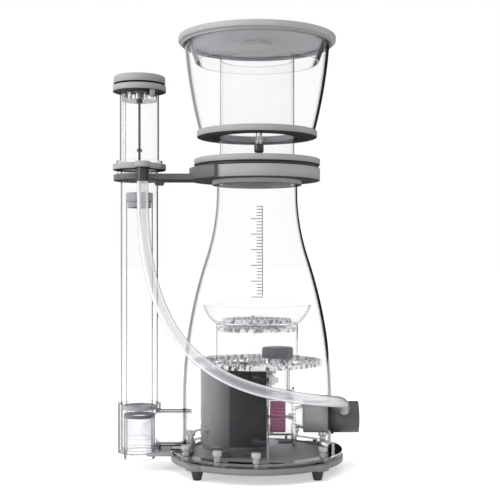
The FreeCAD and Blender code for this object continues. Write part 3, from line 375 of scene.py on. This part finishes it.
SLOT_OF = {row["node"]: row["material_slot"] for row in frame["record"]["subparts"]}
LOOKS = {
    "cut_acrylic": ("centre_bolt", "silencer_screws", "drain_nipple", "body_flange"),
    "pump_screws": ("volute_screws",),
    "plate_acrylic": ("volute_back_plate",),
    "stand_acrylic": ("pump_stand",),
    "thin_acrylic": ("volute_cover", "volute_ring", "pump_outlet_tube", "outlet_spigot", "duct",
                     "outlet_tee"),
    "drilled_acrylic": ("bubble_plate", "diffuser_plates"),
    "pipe_grey": ("intake_pipe",),
    "base_pvc": ("base_plate",),
}
LOOK_OF = dict(SLOT_OF)
LOOK_OF.update({node: look for look, nodes in LOOKS.items() for node in nodes})

for node, piece in frame["nodes"].items():
    for material_slot in piece.material_slots:
        material_slot.material = FINISHES[LOOK_OF[node]]


# ---------------------------------------------------------------- modelling

def dress(piece, finish):
    """Gives a piece one finish all over."""
    piece.data.materials.clear()
    piece.data.materials.append(finish)


def deselect():
    bpy.ops.object.select_all(action="DESELECT")


def pick(piece):
    """Makes a piece the only one selected, and the active one."""
    deselect()
    piece.select_set(True)
    bpy.context.view_layer.objects.active = piece


def settle(piece):
    """Puts a finished piece's place into its mesh, so that its object sits at the origin."""
    pick(piece)
    bpy.ops.object.transform_apply(location=True, rotation=True, scale=True)


def soften(piece, width, limit=35):
    """Rounds a piece's sharp edges and smooths the rest."""
    pick(piece)
    if width:
        bevel = piece.modifiers.new("rounded_edges", "BEVEL")
        bevel.width = width
        bevel.segments = 2
        bevel.limit_method = "ANGLE"
        bevel.angle_limit = math.radians(limit)
        bpy.ops.object.modifier_apply(modifier=bevel.name)
    bpy.ops.object.shade_smooth_by_angle(angle=math.radians(limit))


def own_copy(piece, name):
    """A copy with its own mesh."""
    twin = piece.copy()
    twin.data = piece.data.copy()
    twin.name = name
    bpy.context.collection.objects.link(twin)
    return twin


def copied(piece, name, move):
    """A copy with its own mesh, moved in its mesh."""
    twin = own_copy(piece, name)
    twin.location = Vector(twin.location) + Vector(move)
    settle(twin)
    return twin


LEVEL_FACE = 0.9        # how upright a normal is on a sawn rim
INWARD_FACE = -0.5      # how far a normal turns back towards the axis on a shell's inside
DOWNWARD_FACE = -0.8    # how far a normal points down on an underside


def show_wall(piece, centre):
    """Gives the faces that look towards an upright axis a shell's inside finish, and level rims a
    sawn one."""
    piece.data.materials.append(FINISHES["shell_inside"])
    piece.data.materials.append(FINISHES["sawn_edge"])
    for face in piece.data.polygons:
        outward = face.center.xy - Vector(centre).xy
        if abs(face.normal.z) > LEVEL_FACE:
            face.material_index = 2
        elif outward.dot(face.normal.xy) < INWARD_FACE * outward.length:
            face.material_index = 1


def paint_underside_shade(piece):
    """Gives the faces that look down the painted underside shade finish."""
    piece.data.materials.append(FINISHES["pvc_painted_underside_shade"])
    for face in piece.data.polygons:
        if face.normal.z < DOWNWARD_FACE:
            face.material_index = 1


def hand_over(piece, body, finish, *nodes, centre=None, slot=None):
    """Dresses a piece, lets it ride on its body and stand for its CAD nodes. A shell comes with the
    centre that its wall goes round."""
    dress(piece, FINISHES[finish])
    if centre is not None:
        show_wall(piece, centre)
    # Grey PVC gets painted shade on its downward faces.
    if finish in ("grey_pvc", "arm_pvc"):
        paint_underside_shade(piece)
    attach(piece, body)
    if nodes:
        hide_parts(*nodes)


def arc(start, finish, bend, count=10):
    """Points from start to finish along an arc; a positive bend turns left. The end is left out."""
    start = Vector(start)
    finish = Vector(finish)
    along = finish - start
    left = Vector((-along.y, along.x)).normalized()
    drop = math.sqrt(bend * bend - along.length_squared / 4)
    centre = (start + finish) / 2 + left * math.copysign(drop, bend)
    spoke = start - centre
    sweep = 2 * math.asin(along.length / 2 / abs(bend)) * math.copysign(1, bend)
    points = []
    for step in range(count):
        angle = sweep * step / count
        turn = Vector((spoke.x * math.cos(angle) - spoke.y * math.sin(angle),
                       spoke.x * math.sin(angle) + spoke.y * math.cos(angle)))
        points.append(tuple(centre + turn))
    return points


def turned(name, profile, centre, steps=144, edge=0.0005):
    """Turns a closed outline of (radius, height) points about an upright axis."""
    deselect()
    radius, height = profile[0]
    bpy.ops.mesh.primitive_circle_add(
        vertices=steps, radius=radius, location=(centre[0], centre[1], height))
    piece = bpy.context.object
    piece.name = name
    bpy.ops.object.mode_set(mode="EDIT")
    bpy.ops.mesh.select_mode(type="EDGE")
    bpy.ops.mesh.select_all(action="SELECT")
    for next_radius, next_height in profile[1:]:
        bpy.ops.mesh.extrude_region_move(
            TRANSFORM_OT_translate={"value": (0, 0, next_height - height)})
        grow = next_radius / radius
        bpy.ops.transform.resize(
            value=(grow, grow, 1), center_override=(centre[0], centre[1], next_height))
        radius, height = next_radius, next_height
    bpy.ops.mesh.select_all(action="DESELECT")
    bpy.ops.mesh.select_non_manifold()
    bpy.ops.mesh.bridge_edge_loops()
    bpy.ops.mesh.select_all(action="SELECT")
    bpy.ops.mesh.normals_make_consistent(inside=False)
    bpy.ops.object.mode_set(mode="OBJECT")
    soften(piece, edge)
    settle(piece)
    return piece


def tube(name, inner, outer, low, high, centre, **rest):
    """A plain upright tube or ring."""
    return turned(name, [(inner, low), (outer, low), (outer, high), (inner, high)], centre, **rest)


WELD_DISTANCE = 0.00001
FLAT_WITHIN = 0.8       # degrees between faces that are merged as one


def softened_copy(node, name, width):
    """A copy of a CAD node with its loose triangles merged and its edges rounded."""
    piece = own_copy(frame["nodes"][node], name)
    piece.hide_set(False)
    pick(piece)
    bpy.ops.object.mode_set(mode="EDIT")
    bpy.ops.mesh.select_all(action="SELECT")
    bpy.ops.mesh.remove_doubles(threshold=WELD_DISTANCE)
    bpy.ops.mesh.dissolve_limited(angle_limit=math.radians(FLAT_WITHIN))
    bpy.ops.object.mode_set(mode="OBJECT")
    soften(piece, width, limit=30)
    return piece


# ---------------------------------------------------------------- clear shells

def span(node):
    """Lowest and highest level of a CAD node, and half its width."""
    low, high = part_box(node)
    return low.z, high.z, (high.x - low.x) / 2


BODY_NODES = ("reaction_body", "body_neck")
BODY_WALL = 0.003       # wall of the blown body and cup
NECK_RADIUS = 0.054
SHOULDER_LOW = 0.090    # where the upright foot ends
SHOULDER_HIGH = 0.372   # where the neck begins
UPPER_SHARE = 0.32      # share of the shoulder that the upper, hollow arc takes


def make_reaction_shell():
    """Bottle-shaped body: an upright foot, two arcs that meet in a tangent, and a neck."""
    low, _, radius = span("reaction_body")
    high = span(BODY_NODES[-1])[1]
    fall = SHOULDER_HIGH - SHOULDER_LOW
    spread = radius - NECK_RADIUS
    both_bends = (fall * fall + spread * spread) / (2 * spread)
    meet = (NECK_RADIUS + spread * UPPER_SHARE, SHOULDER_HIGH - fall * UPPER_SHARE)
    lower_bend = both_bends * (1 - UPPER_SHARE)
    upper_bend = both_bends * UPPER_SHARE
    outside = [(radius, low)]
    outside += arc((radius, SHOULDER_LOW), meet, lower_bend, 16)
    outside += arc(meet, (NECK_RADIUS, SHOULDER_HIGH), -upper_bend, 10)
    outside += [(NECK_RADIUS, SHOULDER_HIGH), (NECK_RADIUS, high)]
    inside = [(across - BODY_WALL, up) for across, up in reversed(outside)]
    shell = turned("reaction_shell", outside + inside, BODY)
    hand_over(shell, "main_unit", "clear_acrylic", *BODY_NODES, centre=BODY)


CUP_BEND = 0.65         # radius of the wall's gentle outward curve
CUP_LOW_RADIUS = 0.0776


def make_cup_shell():
    """Flared wall of the collection cup."""
    low, high, radius = span("cup_wall")
    outside = arc((CUP_LOW_RADIUS, low), (radius, high), CUP_BEND, 14) + [(radius, high)]
    inside = [(across - BODY_WALL, up) for across, up in reversed(outside)]
    shell = turned("cup_shell", outside + inside, BODY)
    hand_over(shell, "collection_cup", "clear_acrylic", "cup_wall", centre=BODY)


CLEAR_TUBES = (     # CAD node, body, axis, wall
    ("neck_tube", "collection_cup", BODY, 0.003),
    ("riser_tube", "main_unit", RISER, 0.0025),
    ("standpipe", "sliding_pipe", RISER, 0.002),
    ("bubble_tube", "main_unit", BODY, 0.002),
)
SILENCER_WALL = 0.0025
SILENCER_FLANGE = 0.0045    # both how far it stands out and how thick it is


def make_tubes():
    """Straight clear tubes, and the silencer's chamber with its flange."""
    for node, body, centre, wall in CLEAR_TUBES:
        low, high, radius = span(node)
        piece = tube(node + "_clear", radius - wall, radius, low, high, centre)
        look = "tube_acrylic" if centre == RISER else "neck_acrylic"
        hand_over(piece, body, look, node, centre=centre, slot="clear_acrylic")
    low, high, flange = span("silencer_tube")
    radius = flange - SILENCER_FLANGE
    bore = radius - SILENCER_WALL
    flange_top = low + SILENCER_FLANGE
    piece = turned("silencer_chamber", [
        (bore, low), (flange, low), (flange, flange_top), (radius, flange_top), (radius, high),
        (bore, high)], RISER)
    hand_over(piece, "main_unit", "tube_acrylic", "silencer_tube", centre=RISER, slot="clear_acrylic")


DISH_WALL = 0.0025
DISH_BEND = 0.045
DISH_LEDGE = 0.012      # width of the flat inner ledge


def make_dish():
    """Thin bowl round the diffuser."""
    low, high, radius = span("diffuser_dish")
    foot = span("bubble_tube")[2]
    ledge = foot - DISH_LEDGE
    floor = low + DISH_WALL
    outside = [(ledge, low)] + arc((foot, low), (radius, high), DISH_BEND, 10) + [(radius, high)]
    inside = arc((radius - DISH_WALL, high), (foot - DISH_WALL, floor), -DISH_BEND, 10)
    inside += [(foot - DISH_WALL, floor), (ledge, floor)]
    piece = turned("diffuser_bowl", outside + inside, BODY)
    hand_over(piece, "main_unit", "neck_acrylic", "diffuser_dish", centre=BODY, slot="clear_acrylic")


make_reaction_shell()
make_cup_shell()
make_tubes()
make_dish()


# ---------------------------------------------------------------- rings, screws and level scale

COLLAR_BOSS_RADIUS = 0.060
COLLAR_BOSS_HEIGHT = 0.006
LID_BOSS_RADIUS = 0.021
LID_BOSS_HEIGHT = 0.004
LID_PINHOLE = 0.0005    # the outline stays this far from the axis
SEAL_WIDTH = 0.0095
SEAL_CROWN = 0.0008     # how far the seal's rounded outside stands out
SEAL_BEND = 0.0032
RING_EDGE = 0.0009      # width of a machined ring's broken edges
COLLAR_EDGE = 0.0008
LID_EDGE = 0.0015


def make_rings():
    """Collars, cup floor and lid in machined PVC, with broken edges, and the collar's seal."""
    low, high, radius = span("body_collar")
    boss = COLLAR_BOSS_RADIUS
    shoulder = low + COLLAR_BOSS_HEIGHT
    piece = turned("body_collar_machined", [
        (NECK_RADIUS, low), (boss, low), (boss, shoulder), (radius, shoulder), (radius, high),
        (NECK_RADIUS, high)], BODY, edge=COLLAR_EDGE)
    hand_over(piece, "main_unit", "grey_pvc", "body_collar")
    neck = span("neck_tube")[2]
    for node, body in (("cup_collar", "collection_cup"), ("cup_floor", "collection_cup")):
        low, high, radius = span(node)
        piece = tube(node + "_machined", neck, radius, low, high, BODY, edge=RING_EDGE)
        hand_over(piece, body, "grey_pvc", node)
    low, high, radius = span("lid_disc")
    boss = LID_BOSS_RADIUS
    under = low + LID_BOSS_HEIGHT
    piece = turned("lid_machined", [
        (LID_PINHOLE, low), (boss, low), (boss, under), (radius, under), (radius, high),
        (LID_PINHOLE, high)], BODY, edge=LID_EDGE)
    hand_over(piece, "cup_lid", "lid_pvc", "lid_disc", slot="grey_pvc")
    low, high, radius = span("collar_seal_ring")
    inner = radius - SEAL_WIDTH
    crown = radius - SEAL_CROWN
    profile = [(inner, low), (crown, low)] + arc((crown, low), (crown, high), SEAL_BEND, 6)[1:]
    profile += [(crown, high), (inner, high)]
    piece = turned("collar_o_ring", profile, BODY, edge=0)
    hand_over(piece, "main_unit", "black_rubber", "collar_seal_ring")


COPIED = (      # CAD node, body, width of its rounded edges
    ("base_plate", "main_unit", 0.0008),
    ("support_arm", "main_unit", 0.0009),
    ("silencer_base_ring", "main_unit", 0.0008),
    ("silencer_top_ring", "main_unit", 0.0008),
    ("level_knob", "knob_and_screw", 0.0004),
    ("hose_nozzle", "main_unit", 0.0004),
    ("motor_housing", "main_unit", 0.001),
    ("outlet_cap", "main_unit", 0.0004),
    ("intake_pipe", "main_unit", 0.0006),
    ("intake_fitting", "main_unit", 0.0008),
    ("drain_cap", "drain_stopper", 0.0003),
    ("rubber_feet", "main_unit", 0.0008),
    ("arm_thumbscrew", "clamp_screw", 0.0005),
    ("standpipe_nut", "sliding_pipe", 0.0005),
    ("duct_support_plate", "main_unit", 0.0005),
)


def make_softened_pieces():
    """Machined and moulded pieces whose edges are rounded."""
    for node, body, width in COPIED:
        piece = softened_copy(node, node + "_finished", width)
        hand_over(piece, body, LOOK_OF[node], node, slot=SLOT_OF[node])


SCREW_TURNS = (-149, -118, -91, -39, 31, 59, 90, 121, 149)     # degrees from +X
SCREW_CIRCLE = 0.1075
SHANK_RADIUS = 0.0038
HEAD_LOW_RADIUS = 0.0055
HEAD_RADIUS = 0.0058
HEAD_HEIGHT = 0.006
SOCKET_RADIUS = 0.0018
SOCKET_DEPTH = 0.003
PINHOLE = 0.0005
RIBS = 20
RIB_DEPTH = 0.0004


def make_thumbscrews():
    """Clear thumbscrews round the flange: a ribbed head on a shank with a shoulder."""
    low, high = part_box("base_thumbscrews")
    base = low.z
    top = high.z
    head = top - HEAD_HEIGHT
    socket = top - SOCKET_DEPTH
    first = turned("thumbscrew", [
        (SHANK_RADIUS, base), (SHANK_RADIUS, head - 0.0002), (HEAD_LOW_RADIUS, head),
        (HEAD_RADIUS, head + 0.0005), (HEAD_RADIUS, top), (SOCKET_RADIUS, top), (SOCKET_RADIUS, socket),
        (PINHOLE, socket), (PINHOLE, base)], BODY, steps=2 * RIBS, edge=0)
    pick(first)
    for face in first.data.polygons:
        outward = face.center.xy - BODY.xy
        turn = math.atan2(outward.y, outward.x) / TURN * 2 * RIBS
        on_head = outward.length > HEAD_LOW_RADIUS and abs(face.normal.z) < 0.1
        face.select = on_head and int(math.floor(turn)) % 2 == 0
    bpy.ops.object.mode_set(mode="EDIT")
    bpy.ops.mesh.select_mode(type="FACE")
    bpy.ops.mesh.inset(thickness=0.0001, depth=RIB_DEPTH, use_individual=True)
    bpy.ops.object.mode_set(mode="OBJECT")
    screws = []
    for number, degrees in enumerate(SCREW_TURNS, start=1):
        turn = math.radians(degrees)
        move = (SCREW_CIRCLE * math.cos(turn), SCREW_CIRCLE * math.sin(turn), 0)
        screws.append(copied(first, f"base_thumbscrew_{number}", move))
    bpy.data.objects.remove(first)
    for screw in screws[1:]:
        hand_over(screw, "main_unit", "bright_acrylic", slot="clear_fittings")
    hand_over(screws[0], "main_unit", "bright_acrylic", "base_thumbscrews", slot="clear_fittings")


SCALE_LOW = 0.232       # first mark above the floor
SCALE_STEP = 0.004
SCALE_MARKS = 30
SCALE_LINE = 0.0065     # the upright line, right of the body's axis
MARK_WIDTHS = (("short", 0.007), ("long", 0.014))
LONG_EVERY = 5
INK_WIDTH = 0.0009
INK_THICKNESS = 0.0003


def make_level_scale():
    """Plain water-level scale on the front of the body: fine marks beside an upright line."""
    deselect()
    shell = bpy.data.objects["reaction_shell"]
    front = BODY.y - 0.2
    marks = []
    for name, width in MARK_WIDTHS:
        bpy.ops.mesh.primitive_grid_add(
            x_subdivisions=6, y_subdivisions=1, size=1, rotation=(math.pi / 2, 0, 0))
        mark = bpy.context.object
        mark.name = name + "_mark"
        mark.scale = (width, INK_WIDTH, 1)
        mark.location = (BODY.x + SCALE_LINE - 0.0005 - width / 2, front, FLOOR_Z + SCALE_LOW)
        settle(mark)
        marks.append(mark)
    pieces = []
    for number in range(SCALE_MARKS):
        mark = marks[number % LONG_EVERY == 0]
        pieces.append(copied(mark, f"mark_{number}", (0, 0, SCALE_STEP * number)))
    height = SCALE_STEP * (SCALE_MARKS - 1)
    bpy.ops.mesh.primitive_grid_add(
        x_subdivisions=1, y_subdivisions=40, size=1, rotation=(math.pi / 2, 0, 0))
    line = bpy.context.object
    line.scale = (INK_WIDTH, height + INK_WIDTH, 1)
    line.location = (BODY.x + SCALE_LINE, front, FLOOR_Z + SCALE_LOW + height / 2)
    settle(line)
    for mark in marks:
        bpy.data.objects.remove(mark)
    deselect()
    for piece in pieces + [line]:
        piece.select_set(True)
    bpy.context.view_layer.objects.active = line
    bpy.ops.object.join()
    line.name = "level_scale"
    wrap = line.modifiers.new("on_the_body", "SHRINKWRAP")
    wrap.target = shell
    wrap.wrap_method = "PROJECT"
    wrap.use_project_y = True
    wrap.use_positive_direction = True
    bpy.ops.object.modifier_apply(modifier=wrap.name)
    film = line.modifiers.new("ink_film", "SOLIDIFY")
    film.thickness = INK_THICKNESS
    film.offset = 1
    bpy.ops.object.modifier_apply(modifier=film.name)
    hand_over(line, "main_unit", "scale_ink", slot="grey_pvc")


make_rings()
make_softened_pieces()
make_thumbscrews()
make_level_scale()


# ---------------------------------------------------------------- air hose

HOSE_ROUTE = [
    (-0.12005, -0.045, 0.381),
    (-0.12005, -0.045, 0.349),
    (-0.117, -0.051, 0.306),
    (-0.110, -0.059, 0.264),
    (-0.097, -0.070, 0.225),
    (-0.078, -0.085, 0.189),
    (-0.051, -0.099, 0.159),
    (-0.016, -0.109, 0.135),
    (0.025, -0.113, 0.119),
    (0.066, -0.108, 0.110),
    (0.102, -0.092, 0.103),
    (0.1285, -0.066, 0.098),
    (0.142, -0.041, 0.0925),
    (0.144, -0.0215, 0.081),
]
HOSE_DIAMETER = 0.015


def make_hose():
    """Milky hose from the silencer's nozzle to the pump's intake."""
    curve = bpy.data.curves.new("milky_air_hose", "CURVE")
    curve.dimensions = "3D"
    line = curve.splines.new("NURBS")
    line.points.add(len(HOSE_ROUTE) - 1)
    for point, place in zip(line.points, HOSE_ROUTE):
        point.co = (*place, 1)
    line.order_u = 3
    line.use_endpoint_u = True
    line.resolution_u = 12
    curve.bevel_depth = HOSE_DIAMETER / 2
    curve.bevel_resolution = 8
    curve.use_fill_caps = True
    hose = bpy.data.objects.new("milky_air_hose", curve)
    bpy.context.collection.objects.link(hose)
    dress(hose, FINISHES["silicone_hose"])
    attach(hose, "main_unit")
    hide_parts("air_hose")


make_hose()


# ---------------------------------------------------------------- floor, light and camera

def soft_panel(name, size, place, aim, power):
    """A rectangular area lamp turned towards a point."""
    light = bpy.data.lights.new(name, "AREA")
    light.shape = "RECTANGLE"
    light.size, light.size_y = size
    light.energy = power
    lamp = bpy.data.objects.new(name, light)
    bpy.context.collection.objects.link(lamp)
    lamp.location = place
    lamp.rotation_euler = (Vector(aim) - Vector(place)).to_track_quat("-Z", "Y").to_euler()


PAPER_SIZE = 120.0
PAPER_DROP = 0.0002     # keeps the paper just under the feet
WORLD_SEEN = 1.0
WORLD_ON_MATT = 0.62    # what the world gives to diffuse surfaces
LAMP_AIM = (0, 0, 0.3)


def make_studio():
    """White paper floor, a pale world, two soft lamps and a dark card that shows only in gloss and
    through clear pieces."""
    deselect()
    bpy.ops.mesh.primitive_plane_add(size=PAPER_SIZE, location=(0, 0, FLOOR_Z - PAPER_DROP))
    floor = bpy.context.object
    floor.name = "studio_floor"
    paper = Finish("studio_floor", Base_Color=(0.9, 0.9, 0.9), Roughness=1.0, Specular_IOR_Level=0.0,
                   Emission_Color=(1, 1, 1), Emission_Strength=0.5)
    dress(floor, paper.material)
    bpy.ops.mesh.primitive_plane_add(size=1, location=(1.35, 2.2, 0.6))
    card = bpy.context.object
    card.name = "dark_card"
    card.scale = (2.2, 3.2, 1)
    card.rotation_euler = (math.pi / 2, 0, -0.45)
    dress(card, Finish("dark_card", Base_Color=(0.003, 0.003, 0.003), Roughness=1.0).material)
    card.visible_camera = False
    card.visible_diffuse = False
    card.visible_shadow = False
    world = bpy.data.worlds.new("pale_studio")
    world.use_nodes = True
    tree = world.node_tree
    background = tree.nodes["Background"]
    background.inputs["Color"].default_value = (1, 1, 1, 1)
    path = tree.nodes.new("ShaderNodeLightPath")
    strength = tree.nodes.new("ShaderNodeMapRange")
    tree.links.new(path.outputs["Is Diffuse Ray"], strength.inputs["Value"])
    strength.inputs["To Min"].default_value = WORLD_SEEN
    strength.inputs["To Max"].default_value = WORLD_ON_MATT
    tree.links.new(strength.outputs["Result"], background.inputs["Strength"])
    bpy.context.scene.world = world
    soft_panel("left_panel", (0.8, 1.6), (-2.0, -0.9, 0.9), LAMP_AIM, 30)
    soft_panel("top_panel", (1.2, 1.2), (-0.2, -0.6, 2.0), LAMP_AIM, 16)


CAMERA_DISTANCE = 1.344
CAMERA_HEIGHT = 0.2755
CAMERA_LENS = 72.0
CAMERA_ASIDE = -0.0094
CAMERA_RISE = 0.0252


def make_camera():
    """Level camera in front of the body, a little below the middle of its height."""
    lens = bpy.data.cameras.new("front_camera")
    lens.lens = CAMERA_LENS
    lens.sensor_width = 36.0
    lens.shift_y = CAMERA_RISE
    lens.clip_start = 0.05
    camera = bpy.data.objects.new("front_camera", lens)
    bpy.context.collection.objects.link(camera)
    camera.location = (BODY.x + CAMERA_ASIDE, BODY.y - CAMERA_DISTANCE, FLOOR_Z + CAMERA_HEIGHT)
    camera.rotation_euler = (math.pi / 2, 0, 0)
    bpy.context.scene.camera = camera


make_studio()
make_camera()
scene = bpy.context.scene
scene.view_settings.view_transform = "Standard"
scene.cycles.transparent_max_bounces = 64       # a ray crosses many clear walls
scene.cycles.max_bounces = 12
scene.cycles.transmission_bounces = 12
